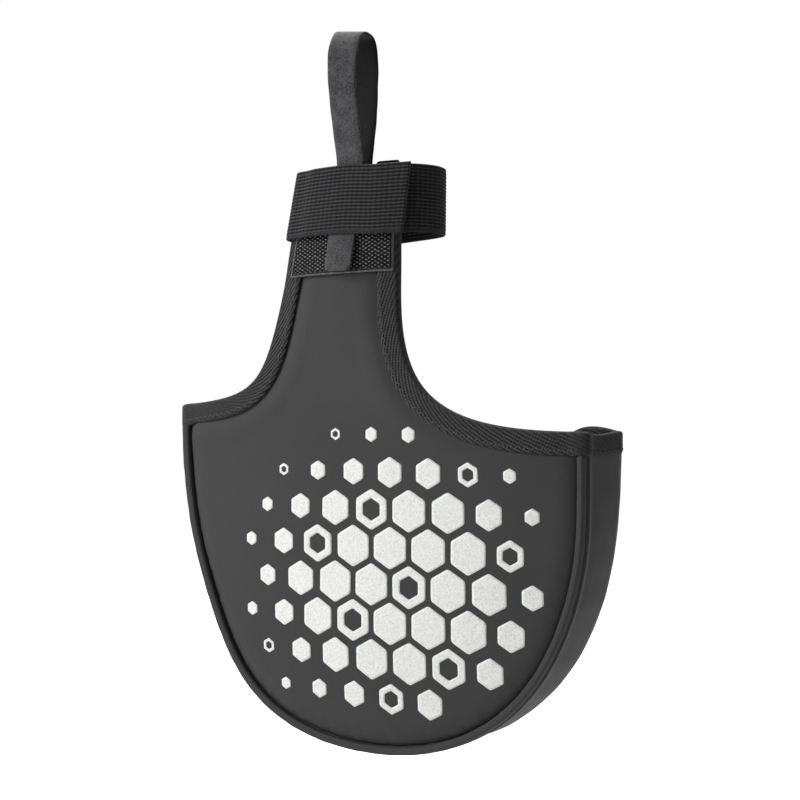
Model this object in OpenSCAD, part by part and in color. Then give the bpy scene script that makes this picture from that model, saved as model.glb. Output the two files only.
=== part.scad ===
// Crank protector: a soft padded pouch for a bicycle's chainring, with a neck that covers the
// crank arm and a wide strap that holds the neck to the seat tube.
// Millimetres, X to the right, Y to the back, Z up. The lengths below are measured from the lowest
// point of the front seam, and the finished part is moved so that the strap loop's centre is 0.

/* [Pouch] */
// Width between the side seams
pouch_w = 250; // [220:1:290]
// Distance from the front seam to the back seam
pouch_depth = 42; // [30:1:60]
// Height of the mouth's right corner
corner_h_right = 170; // [155:0.5:180]
// Height of the mouth's left corner
corner_h_left = 185.5; // [170:0.5:195]
// Exponent of the round bottom, 2 is a circle
curve_power = 2.15; // [2:0.05:2.6]
// How far the left flank sags inwards
flank_slack = 11; // [0:0.5:12]
// Thickness of a padded panel
panel_t = 3; // [2:0.25:5]
// Thickness of the gusset
gusset_t = 2.5; // [1.5:0.25:4]
// How far the front panel is crowned forwards
crown = 5; // [0:0.5:9]
// How far the back panel is crowned backwards
back_crown = 3; // [0:0.5:6]
// How far the gusset's back flares out at the mouth
mouth_flare = 2.5; // [0:0.5:8]
// Height of the back panel's scooped edge in the middle
scoop_h = 88; // [60:1:120]
// How far the back panel's edge swells above the mouth's corners
rim_swell = 2.5; // [0:0.5:5]

/* [Neck] */
// Height of the neck's top
neck_top = 316; // [300:1:335]
// Place of the neck's right edge
neck_right = 20; // [15:0.5:30]
// Height at which the right edge meets the shoulder
neck_right_h = 255; // [240:1:265]
// Place of the neck's left edge at the shoulder
neck_left = -52; // [-60:0.5:-46]
// Height at which the left edge meets the shoulder
neck_left_h = 262; // [245:1:268]
// How far the left edge leans inwards up to the neck's top
neck_left_lean = 11.5; // [0:0.5:13]
// How far the neck's edges bend back round the tube
neck_bow = 3; // [0:0.25:4]
// How far the neck is turned, at its right edge
neck_turn = 1.5; // [0:0.25:2.5]
// Place of the neck's front face in its middle
neck_front = -1; // [-3:0.25:0]

/* [Trim] */
// Diameter of the piping
piping_d = 5; // [3:0.25:5.5]
// Width of the folded binding on each face
tape_w = 11.5; // [9:0.5:13]
// Thickness of the binding tape
tape_t = 1.2; // [0.8:0.1:1.5]
// Thickness of the hook patch
patch_t = 1.4; // [1:0.1:1.6]
// Height of the hook patch's lower edge
patch_bottom = 256; // [250:0.5:262]
// Distance of the hook patch from the neck's edges
patch_inset = 3.4; // [3:0.2:6]

/* [Strap] */
// Width of the strap
strap_w = 37; // [30:0.5:40]
// Thickness of the strap
strap_t = 1.6; // [1.2:0.1:1.7]
// Height of the strap's middle
strap_h = 295.4; // [293.5:0.1:297]
// How far the loop reaches behind the neck
loop_depth = 41; // [36:0.5:60]
// Width of the suede strip
strip_w = 15.5; // [12:0.5:18]
// Thickness of the suede strip
strip_t = 1.6; // [1.2:0.1:1.7]
// Height of the hang loop's top
strip_top = 386; // [372:0.5:410]

/* [Print] */
// Distance between the middles of neighbouring cells
cell_pitch = 23; // [20:0.5:28]
// Gap between neighbouring cells
cell_gap = 3.2; // [2:0.2:6]
// Radius of the printed field
print_r = 80; // [60:1:84]
// Thickness of the ink
ink_t = 0.4; // [0.3:0.1:0.8]

/* [Hidden] */

// Clearance between pieces that lie on each other
gap = 0.3;
// Clearance between the binding and the curved fabric inside its fold
fold_gap = 0.45;
bow_r = pouch_w / 2;
// How far a panel's edge stays inside the outline, under the fold of the binding
edge_in = tape_t + 0.6;
// Distance from a fabric's middle to the outer face of the binding
tape_h = panel_t / 2 + fold_gap + tape_t;
// Where the piping leaves room for the fabric behind it
seam_back = piping_d / 2 + 0.2;
// Width over which a panel rolls back to its seam
roll_w = 2.2;
// How far the neck's middle under the strap lies to the right of its middle at the shoulders
neck_shift = 4.5;
neck_mid = (neck_left + neck_right) / 2 + neck_shift;
neck_half = (neck_right - neck_left) / 2 - neck_shift;
neck_slope = neck_left_lean / (neck_top - neck_left_h);
loop_centre = [neck_mid, loop_depth / 2, strap_h];
flank_n = 4;
arc_n = 14;
// Below 1 the left flank sags most in its lower half
slack_bias = 0.8;
// Place left of the middle where the sag begins
slack_from = 60;

function lerp(a, b, t) = a + (b - a) * t;
function clamp01(t) = max(0, min(1, t));
function smooth(t) = let (u = clamp01(t)) u * u * (3 - 2 * u);
function unit(v) = v / norm(v);
function bezier(p, t) = pow(1 - t, 3) * p[0] + 3 * t * pow(1 - t, 2) * p[1]
    + 3 * t * t * (1 - t) * p[2] + pow(t, 3) * p[3];
// A point of the smooth curve through a list of points, between point i and the next one
function through(p, i, t) = let (
    n = len(p), a = p[max(0, i - 1)], b = p[i], c = p[min(n - 1, i + 1)], d = p[min(n - 1, i + 2)])
    0.5 * (2 * b + (c - a) * t + (2 * a - 5 * b + 4 * c - d) * t * t
    + (3 * b - a - 3 * c + d) * t * t * t);
function curve(p, steps) = concat(
    [for (i = [0 : len(p) - 2]) for (j = [0 : steps - 1]) through(p, i, j / steps)],
    [p[len(p) - 1]]);

// Outline of the pouch, seen from the front
function corner_h(side) = side < 0 ? corner_h_left : corner_h_right;
function slack(z) = flank_slack * pow(sin(180 * pow(clamp01(z / corner_h_right), slack_bias)), 2);
function half_w(z, side) = let (v = 1 - min(z, bow_r) / bow_r)
    bow_r * pow(max(0, 1 - pow(v, curve_power)), 1 / curve_power) - (side < 0 ? slack(z) : 0);
function arc_z(phi) = bow_r * (1 - pow(cos(phi), 2 / curve_power));
// Heights of the stations along one side of the seam, from the bottom up
function side_z(side) = concat(
    [for (j = [0 : arc_n]) arc_z(90 * j / arc_n)],
    [for (i = [1 : flank_n]) lerp(bow_r, corner_h(side), i / flank_n)]);
function reversed(p) = [for (i = [len(p) - 1 : -1 : 0]) p[i]];
seam = concat(
    reversed([for (z = side_z(1)) [half_w(z, 1), z]]),
    [for (i = [1 : arc_n + flank_n]) let (z = side_z(-1)[i]) [-half_w(z, -1), z]]);

// Mouth edge of the front panel, from the left corner over the neck to the right corner
shoulder_steps = [0.03, 0.07, 0.13, 0.22, 0.33, 0.45, 0.56, 0.66, 0.75, 0.83, 0.92, 1];
// How far the mouth runs on from its corners and the shoulders from the neck, before they bend
left_run = 61;
left_rise = 59;
right_run = 73;
right_rise = 69;
left_edge_dir = unit([neck_left_lean, neck_top - neck_left_h]);
left_shoulder = [
    [-bow_r, corner_h_left],
    [-bow_r + left_run, corner_h_left],
    [neck_left, neck_left_h] - left_rise * left_edge_dir,
    [neck_left, neck_left_h]];
right_shoulder = [
    [bow_r, corner_h_right],
    [bow_r - right_run, corner_h_right],
    [neck_right, neck_right_h - right_rise],
    [neck_right, neck_right_h]];
function neck_left_x(z) = neck_left + neck_slope * (z - neck_left_h);
neck_mid_h = (neck_top + neck_left_h) / 2;
mouth = concat(
    [for (t = shoulder_steps) bezier(left_shoulder, t)],
    [[neck_left_x(neck_mid_h), neck_mid_h]],
    [for (i = [0 : 4]) [lerp(neck_left_x(neck_top), neck_right, i / 4), neck_top]],
    [[neck_right, neck_mid_h]],
    reversed([for (t = shoulder_steps) bezier(right_shoulder, t)]));
outline = concat(seam, mouth);

// Inward directions of a closed outline, mitred so that an inset keeps its distance
function right_of(d) = unit([d[1], -d[0]]);
function mitre(p, i) = let (
    n = len(p), a = right_of(p[i] - p[(i + n - 1) % n]), b = right_of(p[(i + 1) % n] - p[i]))
    (a + b) / (1 + a * b);
outline_in = [for (i = [0 : len(outline) - 1]) mitre(outline, i)];

// Heights between which the crowned pouch turns into the bowed neck
neck_from = 180;
neck_to = 260;
// Distance from the seam towards the middle of the pouch, 0 on the seam
function seam_rho(x, z) = let (
    v = max(0, 1 - z / bow_r),
    s = x < 0 ? slack(z) * min(1, -x / slack_from) : 0)
    pow(pow((abs(x) + s) / bow_r, curve_power) + pow(v, curve_power), 1 / curve_power);
function seam_dist(x, z) = (1 - seam_rho(x, z)) * bow_r;

// Front face of the front panel: crowned over the pouch, bowed round the tube at the neck and
// rolled back to the seam
function front_y(x, z) = let (
    body = -crown * (1 - pow(seam_rho(x, z), 5)),
    u = max(-1.3, min(1.3, (x - neck_mid) / neck_half)),
    neck = neck_front + neck_bow * u * u + neck_turn * u,
    roll = (seam_back + 0.3) * exp(-max(0, seam_dist(x, z) - edge_in) / roll_w))
    lerp(body, neck, smooth((z - neck_from) / (neck_to - neck_from))) + roll;
function front_mid(x, z) = front_y(x, z) + panel_t / 2;

// Middle of the gusset, outwards from the seam, at a depth and a height
side_profile = [[0, 0.05], [0.07, 0.05], [0.14, 1.1], [0.3, 1.5], [0.55, 2.4], [0.8, 3.1],
    [0.92, 2.6], [1, 1.25]];
flare_from = 100;
function gusset_mid(y, z) = let (u = y / pouch_depth)
    lookup(u, side_profile) + mouth_flare * smooth((z - flare_from) / (corner_h_right - flare_from))
    * smooth(u);
function gusset_x(y, z, side) = side * (half_w(z, side) + gusset_mid(y, z));

// Back panel: its outer face, its flanks and its scooped edge
function back_edge(z) = gusset_mid(pouch_depth, z) - gusset_t / 2 - gap;
function back_w(z, side) = half_w(z, side) + back_edge(z);
function back_y(x, z) = pouch_depth + back_crown * (1 - pow(min(1, seam_rho(x, z)), 4));
function back_mid(x, z) = back_y(x, z) - panel_t / 2;
scoop_half = bow_r - 13;
swell_w = 25;
function rim_z(x) = let (
    side = x < 0 ? -1 : 1,
    corner = corner_h(side),
    from_corner = back_w(corner, side) - abs(x))
    corner + rim_swell * sin(180 * clamp01(from_corner / swell_w))
    - (corner - scoop_h) * (abs(x) < scoop_half ? (1 + cos(180 * x / scoop_half)) / 2 : 0);

// Polyhedron through sections of equally many points, listed clockwise as seen from the first
module loft(sections, closed = false) {
    n = len(sections);
    m = len(sections[0]);
    sides = [for (i = [0 : closed ? n - 1 : n - 2]) for (j = [0 : m - 1]) let (
        a = i * m + j, b = i * m + (j + 1) % m,
        c = (i + 1) % n * m + (j + 1) % m, d = (i + 1) % n * m + j)
        each [[a, b, c], [a, c, d]]];
    caps = closed ? [] : [
        [for (j = [m - 1 : -1 : 0]) j],
        [for (j = [0 : m - 1]) (n - 1) * m + j]];
    polyhedron([for (s = sections) each s], concat(sides, caps), convexity = 10);
}

// Closed shell of two grids of rows and columns, one in front of the other
module slab(front, back) {
    n = len(front);
    m = len(front[0]);
    k = n * m;
    cells = [for (i = [0 : n - 2]) for (j = [0 : m - 2]) i * m + j];
    faces = concat(
        [for (a = cells) each [[a, a + m, a + m + 1], [a, a + m + 1, a + 1]]],
        [for (a = cells) each [[k + a, k + a + m + 1, k + a + m], [k + a, k + a + 1, k + a + m + 1]]],
        [for (j = [0 : m - 2]) each [[j, j + 1, k + j + 1], [j, k + j + 1, k + j]]],
        [for (j = [0 : m - 2]) let (a = (n - 1) * m + j)
            each [[a, k + a + 1, a + 1], [a, k + a, k + a + 1]]],
        [for (i = [0 : n - 2]) let (a = i * m) each [[a, k + a, k + a + m], [a, k + a + m, a + m]]],
        [for (i = [0 : n - 2]) let (a = i * m + m - 1)
            each [[a, k + a + m, k + a], [a, a + m, k + a + m]]]);
    polyhedron([for (g = [front, back]) for (r = g) each r], faces, convexity = 10);
}

// Closed shell of rings round a middle point, the front ones from the rim inwards
module disc(front, front_mid, back, back_mid) {
    n = len(front);
    m = len(front[0]);
    k = n * m;
    function ring(o, i, flip) = [for (j = [0 : m - 1]) let (
        a = o + i * m + j, b = o + i * m + (j + 1) % m)
        each flip ? [[a, a + m, b + m], [a, b + m, b]] : [[a, b + m, a + m], [a, b, b + m]]];
    faces = concat(
        [for (i = [0 : n - 2]) each ring(0, i, false)],
        [for (i = [0 : n - 2]) each ring(k, i, true)],
        [for (j = [0 : m - 1]) [(n - 1) * m + j, (n - 1) * m + (j + 1) % m, 2 * k]],
        [for (j = [0 : m - 1]) [k + (n - 1) * m + (j + 1) % m, k + (n - 1) * m + j, 2 * k + 1]],
        [for (j = [0 : m - 1]) let (b = (j + 1) % m) each [[j, k + j, k + b], [j, k + b, b]]]);
    polyhedron(concat([for (g = [front, back]) for (r = g) each r], [front_mid, back_mid]),
        faces, convexity = 10);
}

// Flat band between two heights along a plan path of [x, y] points. It leans with the neck's left
// edge and stands upright at the neck's right one.
function lean_at(x) = lerp(strap_left_lean, strap_right_lean,
    (x - strap_left) / (neck_right - strap_left));
module band(path, low, high, thick) {
    loft([for (i = [0 : len(path) - 1]) let (
        d = unit(path[min(len(path) - 1, i + 1)] - path[max(0, i - 1)]),
        side = [d[1], -d[0]] * thick / 2, lean = lean_at(path[i][0]))
        [for (c = [[1, low], [-1, low], [-1, high], [1, high]])
            [path[i][0] + c[0] * side[0] + lean * (c[1] - strap_h), path[i][1] + c[0] * side[1], c[1]]]]);
}

// Front panel with its neck
panel_rings = [1, 0.985, 0.965, 0.93, 0.87, 0.8, 0.72, 0.63, 0.52, 0.38, 0.2];
panel_centre = [neck_mid + 4, 150];
module front_panel() {
    rim = [for (i = [0 : len(outline) - 1]) outline[i] + edge_in * outline_in[i]];
    rings = [for (s = panel_rings) [for (p = rim) lerp(panel_centre, p, s)]];
    front = [for (r = rings) [for (p = r) [p[0], front_y(p[0], p[1]), p[1]]]];
    back = [for (r = front) [for (p = r) p + [0, panel_t, 0]]];
    c = [panel_centre[0], front_y(panel_centre[0], panel_centre[1]), panel_centre[1]];
    color("dimgray") disc(front, c, back, c + [0, panel_t, 0]);
}

// Back panel, open in the middle for the frame. Its columns stand closer together at the flanks.
columns = [for (i = [0 : 28]) -cos(180 * i / 28)];
module back_panel() {
    rows = [for (j = [0.06, 0.18, 0.3, 0.42, 0.54, 0.66, 0.78, 0.9, 1]) j * j];
    // Share of the half width and height of a column's top, inside the fold of the binding
    tops = [for (c = columns) let (
        x = rim_x(c), slope = rim_z(x + 0.5) - rim_z(x - 0.5),
        z = rim_z(x) - (edge_in + fold_gap) * norm([1, slope]))
        [x / back_w(z, c), z]];
    outer = [for (v = rows) [for (t = tops) let (z = t[1] * v, x = t[0] * back_w(max(z, 0.2), t[0]))
        [x, back_y(x, z), z]]];
    inner = [for (r = outer) [for (p = r) p - [0, panel_t, 0]]];
    color("dimgray") slab(outer, inner);
}

// Gusset between the panels
gusset_rows = [0.07, 0.16, 0.36, 0.62, 0.84, 1];
module gusset() {
    last = len(seam) - 1;
    path = [for (i = [0 : last]) i == 0 || i == last ? seam[i] - [0, edge_in] : seam[i]];
    out = [for (i = [0 : last]) i == 0 ? [1, 0] : i == last ? [-1, 0] : -outline_in[i]];
    color("dimgray") loft([for (i = [0 : last]) [
        for (u = gusset_rows) let (y = max(seam_back + 0.1, u * pouch_depth),
            p = path[i] + out[i] * (gusset_mid(y, path[i][1]) + gusset_t / 2)) [p[0], y, p[1]],
        for (u = reversed(gusset_rows)) let (y = max(seam_back + 0.1, u * pouch_depth),
            p = path[i] + out[i] * (gusset_mid(y, path[i][1]) - gusset_t / 2)) [p[0], y, p[1]]]]);
}

// Piping along the front seam, up to the binding at both corners
module piping() {
    last = len(seam) - 1;
    path = [for (i = [0 : last])
        i == 0 || i == last ? seam[i] - [0, tape_w + gap] : seam[i]];
    // The stations stop short of the binding, and one more stands at each end
    stop = corner_h_right - tape_w - 4;
    kept = [for (i = [0 : last]) if (i == 0 || i == last || seam[i][1] < stop) i];
    r = piping_d / 2;
    color("dimgray") loft([for (i = kept) let (
        out = i == 0 ? [1, 0] : i == last ? [-1, 0] : -outline_in[i])
        [for (a = [0 : 45 : 315]) let (p = path[i] + out * r * cos(a)) [p[0], r * sin(a), p[1]]]]);
}

// One tape folded over every open edge. Each section lists points at a distance into the fabric
// and a distance out of its middle.
function tape_section(h) = let (g = h - tape_t) [
    [tape_w, h], [tape_w / 2, h], [1.2, h], [0, h * 0.45], [0, -h * 0.45], [1.2, -h],
    [tape_w / 2, -h], [tape_w, -h], [tape_w, -g], [tape_w / 2, -g], [tape_t + 0.2, -g],
    [tape_t + 0.2, g], [tape_w / 2, g], [tape_w, g]];
function front_station(i) = [for (s = tape_section(tape_h)) let (
    p = outline[i] + s[0] * outline_in[i], q = outline[i] + max(edge_in, s[0]) * outline_in[i])
    [p[0], front_mid(q[0], q[1]) - s[1], p[1]]];
function side_station(y, side) = [for (s = tape_section(gusset_t / 2 + fold_gap + tape_t)) let (
    z = corner_h(side) - s[0]) [gusset_x(y, z, side) + side * s[1], y, z]];
// At a corner the fabrics' seams stack, so the section is thicker there by an amount. It stands at
// a distance out of the front seam and at a depth.
function corner_station(out, y, dir, side, more) = [for (s = tape_section(tape_h + more)) let (
    z = corner_h(side) - s[0], base = half_w(z, side) + out)
    [side * (base + s[1] * dir[0]), y + s[1] * dir[1], z]];
// Place along the rim of a share of the half width, which itself grows with the rim's height
function rim_x(c, z = 150, tries = 6) = let (x = c * back_w(z, c))
    tries == 0 ? x : rim_x(c, rim_z(x), tries - 1);
rim = concat(
    [[-back_w(corner_h_left, -1) + 0.5, corner_h_left]],
    [for (i = [2 : len(columns) - 3]) let (x = rim_x(columns[i])) [x, rim_z(x)]],
    [[back_w(corner_h_right, 1) - 0.5, corner_h_right]]);
function rim_in(i) = let (
    a = right_of(rim[i] - rim[max(0, i - 1)] + [0.0001, 0]), b = right_of(rim[i + 1] - rim[i]))
    (a + b) / (1 + a * b);
function rim_station(i) = [for (s = tape_section(tape_h)) let (
    m = rim_in(i), p = rim[i] + s[0] * m) [p[0], back_mid(p[0], p[1]) + s[1], p[1]]];

module edge_binding() {
    first = len(seam);
    rear_n = back_edge(corner_h_right);
    front_dir = unit([0.64, -0.77]);
    rear_dir = unit([0.64, 0.77]);
    front_out = -1;
    front_y = seam_back + 0.9;
    front_more = 3;
    rear_out = rear_n + 0.9;
    rear_y = pouch_depth - 1.8;
    rear_more = 1.9;
    depths = [0.16, 0.35, 0.6, 0.86];
    color("black") loft(concat(
        [for (i = [len(outline) - 1 : -1 : first]) front_station(i)],
        [corner_station(front_out, front_y, front_dir, -1, front_more)],
        [for (u = depths) side_station(u * pouch_depth, -1)],
        [corner_station(rear_out, rear_y, rear_dir, -1, rear_more)],
        [for (i = [1 : len(rim) - 2]) rim_station(i)],
        [corner_station(rear_out, rear_y, rear_dir, 1, rear_more)],
        [for (u = reversed(depths)) side_station(u * pouch_depth, 1)],
        [corner_station(front_out, front_y, front_dir, 1, front_more)]), closed = true);
}

// Hook patch across the neck, sewn over the binding
module hook_patch() {
    heights = [for (i = [0 : 3]) lerp(patch_bottom, neck_top - 4, i / 3)];
    function side_x(z, t) = lerp(neck_left_x(z) + patch_inset + 2, neck_right - patch_inset, t);
    function plate(depth) = [for (z = heights) [for (j = [0 : 8]) let (x = side_x(z, j / 8))
        [x, front_mid(x, z) - tape_h - depth, z]]];
    color("black") slab(plate(patch_t + 0.1), plate(0.1));
}

// Strap: sewn behind the neck, out round the tube and back over the hook patch
strap_left_lean = 0.21;
strap_right_lean = 0.04;
strap_left = neck_left_x(strap_h) - gap - strap_t / 2;
function behind(x) = front_mid(x + lean_at(x) * strap_w / 2, strap_h) + tape_h + gap + strap_t / 2;
patch_front = tape_h + patch_t + 0.1;
function before(x, lift) = front_mid(x, strap_h) - patch_front - lift - strap_t / 2;
strip_stack = strip_t + 3.5 * gap;
strap_points = [
    [neck_right - 16, behind(neck_right - 16)],
    [neck_right - 9, behind(neck_right - 9)],
    [neck_right - 2, behind(neck_right - 2)],
    [neck_right + 3.5, behind(neck_right) + 3.6],
    [neck_right + 8.5, lerp(9, loop_depth, 0.35)],
    [neck_right + 10.5, lerp(9, loop_depth, 0.58)],
    [neck_right + 9, lerp(9, loop_depth, 0.82)],
    [neck_right, loop_depth - 1],
    [neck_mid + 15, loop_depth],
    [neck_mid, loop_depth],
    [neck_mid - 16, loop_depth - 2.2],
    [neck_mid - 28, lerp(9, loop_depth, 0.72)],
    [strap_left + 0.8, lerp(9, loop_depth, 0.4)],
    [strap_left - 0.5, lerp(9, loop_depth, 0.08)],
    [strap_left - 0.6, 4.2],
    [strap_left - 0.5, front_mid(strap_left, strap_h) - tape_h + 0.4],
    [strap_left + 2.2, before(strap_left + 6, 0.7)],
    [strap_left + 9, before(strap_left + 9, 1.4)],
    [neck_mid - 19, before(neck_mid - 19, strip_stack)],
    [neck_mid - 9, before(neck_mid - 9, strip_stack + 0.1)],
    [neck_mid, before(neck_mid, strip_stack + 0.2)],
    [neck_mid + 9, before(neck_mid + 9, strip_stack + 0.2)],
    [neck_mid + 18, before(neck_mid + 18, strip_stack)],
    [neck_mid + 25, before(neck_mid + 25, strip_stack)],
    [neck_right + 5.5, before(neck_right, strip_stack) + 2]];
strap_path = curve(strap_points, 2);
module strap() {
    color("black") band(strap_path, strap_h - strap_w / 2, strap_h + strap_w / 2, strap_t);
}

// Hook pad inside the strap's free end
module strap_pad() {
    pad_t = 1.2;
    pad_in = 4;
    n = len(strap_path);
    path = [for (i = [n - 6 : n - 2]) let (d = unit(strap_path[i + 1] - strap_path[i - 1]))
        strap_path[i] + [-d[1], d[0]] * (strap_t + pad_t + 0.1) / 2];
    color("black") band(path, strap_h - strap_w / 2 + pad_in, strap_h + strap_w / 2 - pad_in, pad_t);
}

// Stay sewn over the strap's root behind the neck
module strap_stay() {
    stay_t = 1.4;
    stay_below = 8;
    stay_above = 3;
    stay_path = [for (x = [neck_right - 15.5, neck_right - 9, neck_right - 2.5])
        [x, behind(x) + strap_t / 2 + stay_t / 2 + gap]];
    color("black") band(stay_path, strap_h - stay_below, strap_h + strap_w / 2 + stay_above, stay_t);
}

// Suede strip: sewn behind the neck, looped over its top and laid down its front as a pull tab
strip_front = front_mid(neck_mid + 3, strap_h) - patch_front - 1.5 * gap - strip_t / 2;
strip_back = front_mid(neck_mid + 6, strap_h) + tape_h + 2 * gap + strip_t / 2;
// The strip lies square to the neck's face, which turns away to the right
strip_turn = front_mid(neck_mid + 6, strap_h) - front_mid(neck_mid + 5, strap_h);
strip_rise = strip_top - neck_top;
strip_points = [
    [neck_mid + 5, strip_back, neck_top - 24],
    [neck_mid + 5, strip_back, neck_top - 10],
    [neck_mid + 5, strip_back + 0.4, neck_top + 2],
    [neck_mid + 5.4, strip_back + 3.6, neck_top + strip_rise * 0.28],
    [neck_mid + 5.8, strip_back + 5.6, neck_top + strip_rise * 0.54],
    [neck_mid + 6.4, strip_back + 4.4, neck_top + strip_rise * 0.79],
    [neck_mid + 7.0, strip_back - 0.6, neck_top + strip_rise * 0.95],
    [neck_mid + 7.3, -2, strip_top - strip_t / 2],
    [neck_mid + 7.2, -8.8, neck_top + strip_rise * 0.965],
    [neck_mid + 6.9, strip_front - 9.4, neck_top + strip_rise * 0.83],
    [neck_mid + 6.5, strip_front - 10.4, neck_top + strip_rise * 0.62],
    [neck_mid + 6.9, strip_front - 8.2, neck_top + strip_rise * 0.38],
    [neck_mid + 6.8, strip_front - 3.6, neck_top + strip_rise * 0.15],
    [neck_mid + 6.3, strip_front, neck_top - 3],
    [neck_mid + 3.8, strip_front, strap_h],
    [neck_mid + 1.0, strip_front, strap_h - strap_w / 2 + 1],
    [neck_mid + 0.1, strip_front - 1.2, patch_bottom + 11],
    [neck_mid - 0.5, strip_front - 2.7, patch_bottom + 1]];
module hang_strip() {
    path = curve(strip_points, 3);
    n = len(path);
    // Half width at a station, with round corners at the tab's end
    function half(i) = strip_w / 2 - (i == n - 1 ? 2.2 : i == n - 2 ? 0.3 : 0);
    color("dimgray") loft([for (i = [0 : n - 1]) let (
        d = unit(path[min(n - 1, i + 1)] - path[max(0, i - 1)]),
        thick = unit([0, d[2], -d[1]]) * strip_t / 2,
        side = half(i) * unit([1, strip_turn, 0]))
        [path[i] + side + thick, path[i] + side - thick,
         path[i] - side - thick, path[i] - side + thick]]);
}

// Print: a honeycomb of silver cells that shrink towards the edge of the field
print_x = 31;
print_z = 89;
print_stretch = 1.3;
function mouth_dist(p) = min([for (m = mouth) norm(m - p)]);
// Six-sided plate of ink that follows the panel, with a hole of a share of its radius
module cell(x, z, r, hole) {
    corners = [for (a = [30 : 60 : 330]) [x + r * cos(a), z + r * sin(a)]];
    function ring(share, out) = [for (c = corners) let (p = lerp([x, z], c, share))
        [p[0], front_y(p[0], p[1]) - out, p[1]]];
    faces = [for (j = [0 : 5]) let (b = (j + 1) % 6) each [
        [j, j + 6, b + 6], [j, b + 6, b], [j + 12, b + 18, j + 18], [j + 12, b + 12, b + 18],
        [j, b, b + 12], [j, b + 12, j + 12], [j + 6, j + 18, b + 18], [j + 6, b + 18, b + 6]]];
    under = gap / 2;
    over = under + ink_t;
    polyhedron(concat(ring(1, over), ring(hole, over), ring(1, under), ring(hole, under)),
        faces, convexity = 4);
}
module print() {
    row_h = cell_pitch * cos(30);
    full_r = (cell_pitch - cell_gap) / 2 / cos(30);
    color("gainsboro") for (row = [-5 : 5]) for (column = [-6 : 5]) {
        x = print_x + cell_pitch * (column + (row % 2 == 0 ? 0 : 0.5));
        z = print_z + row_h * row;
        away = norm([(x - print_x) / (x < print_x ? print_stretch : 1), z - print_z]) / print_r;
        r = full_r * (1 - 0.75 * smooth((away - 0.45) / 0.75));
        if (away < 1.1 && seam_dist(x, z) > r + 9 && mouth_dist([x, z]) > r + tape_w + 4)
            cell(x, z, r, (row + 2 * column + 30) % 5 == 0 ? 0.55 : 0.04);
    }
}

module placed() translate(-loop_centre) children();
placed() front_panel();
placed() back_panel();
placed() gusset();
placed() piping();
placed() edge_binding();
placed() hook_patch();
placed() strap();
placed() strap_pad();
placed() strap_stay();
placed() hang_strip();
placed() print();
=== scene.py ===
# %% [markdown]
# # A cover for a bicycle's crank, sewn from padded artificial leather
# The real thing is a soft pouch that slips over the chainring, with a padded neck up the crank
# arm and a wide elastic strap round the neck's top. The exact solids come from the CAD model and
# stay as the frame. This lesson sews the cloth, tape and suede over them, piece by piece.

import bmesh
import bpy
import numpy as np
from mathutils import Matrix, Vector

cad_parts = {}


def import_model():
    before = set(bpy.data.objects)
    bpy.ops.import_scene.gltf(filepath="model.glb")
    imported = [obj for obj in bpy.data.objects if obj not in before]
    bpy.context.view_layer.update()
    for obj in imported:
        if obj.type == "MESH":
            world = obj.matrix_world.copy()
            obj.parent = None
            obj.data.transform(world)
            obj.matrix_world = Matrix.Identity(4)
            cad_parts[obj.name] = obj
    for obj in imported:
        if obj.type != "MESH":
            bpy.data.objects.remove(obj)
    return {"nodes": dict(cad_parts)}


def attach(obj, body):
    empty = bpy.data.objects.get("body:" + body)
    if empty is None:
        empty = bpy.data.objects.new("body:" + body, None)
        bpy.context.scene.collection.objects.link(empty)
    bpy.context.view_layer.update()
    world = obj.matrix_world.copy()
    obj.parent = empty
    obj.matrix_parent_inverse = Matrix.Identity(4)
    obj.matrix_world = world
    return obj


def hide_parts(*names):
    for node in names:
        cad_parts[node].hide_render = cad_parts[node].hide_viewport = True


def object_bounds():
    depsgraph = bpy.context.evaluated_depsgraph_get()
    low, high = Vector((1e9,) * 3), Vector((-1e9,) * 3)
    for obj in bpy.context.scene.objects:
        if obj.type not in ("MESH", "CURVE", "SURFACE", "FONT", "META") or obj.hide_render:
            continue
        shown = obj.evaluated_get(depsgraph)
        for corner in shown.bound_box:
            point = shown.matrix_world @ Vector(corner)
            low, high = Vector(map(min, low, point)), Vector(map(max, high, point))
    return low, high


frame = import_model()
cad_box = [list(corner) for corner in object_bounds()]
print("frame:", len(frame["nodes"]), "solids, box", np.round(cad_box, 3).tolist())

# %% [markdown]
# ## One set of measures
# A pattern cutter works in millimetres from the lowest point of the front seam: x to the right,
# y to the back, z up. The frame is in metres from the middle of the strap loop. One function
# moves points from the first to the second, so every size below can be the cutter's own.

# %% Measures of the cover, in millimetres
POUCH_R = 125.0
ROUND = 2.15  # power of the pouch's superellipse, where 2 is a circle
DEPTH = 42.0
CORNER_R, CORNER_L = 171.0, 185.5
NECK_TOP, NECK_RIGHT, NECK_RIGHT_H = 316.0, 20.0, 255.0
NECK_LEFT, NECK_LEFT_H, NECK_LEAN = -52.0, 262.0, 11.5
NECK_CUT = 313.2
NECK_MID, NECK_HALF = -11.5, 31.5
PANEL_T, GUSSET_T = 3.0, 2.5
PIPING_D = 5.0
TAPE_W, TAPE_T = 11.5, 1.2
STRAP_H, STRAP_W, STRAP_T = 295.4, 37.0, 1.6
STRAP_LOW, STRAP_TOP = STRAP_H - STRAP_W / 2, STRAP_H + STRAP_W / 2
LOOP_DEPTH = 41.0
LOOP_CENTRE = np.array([NECK_MID, LOOP_DEPTH / 2, STRAP_H])
STEP = 2.2  # from point to point along the edges of the meshes


def placed(points):
    """Cutter's millimetres to the frame's metres."""
    return (np.asarray(points, float) - LOOP_CENTRE) / 1000


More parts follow.
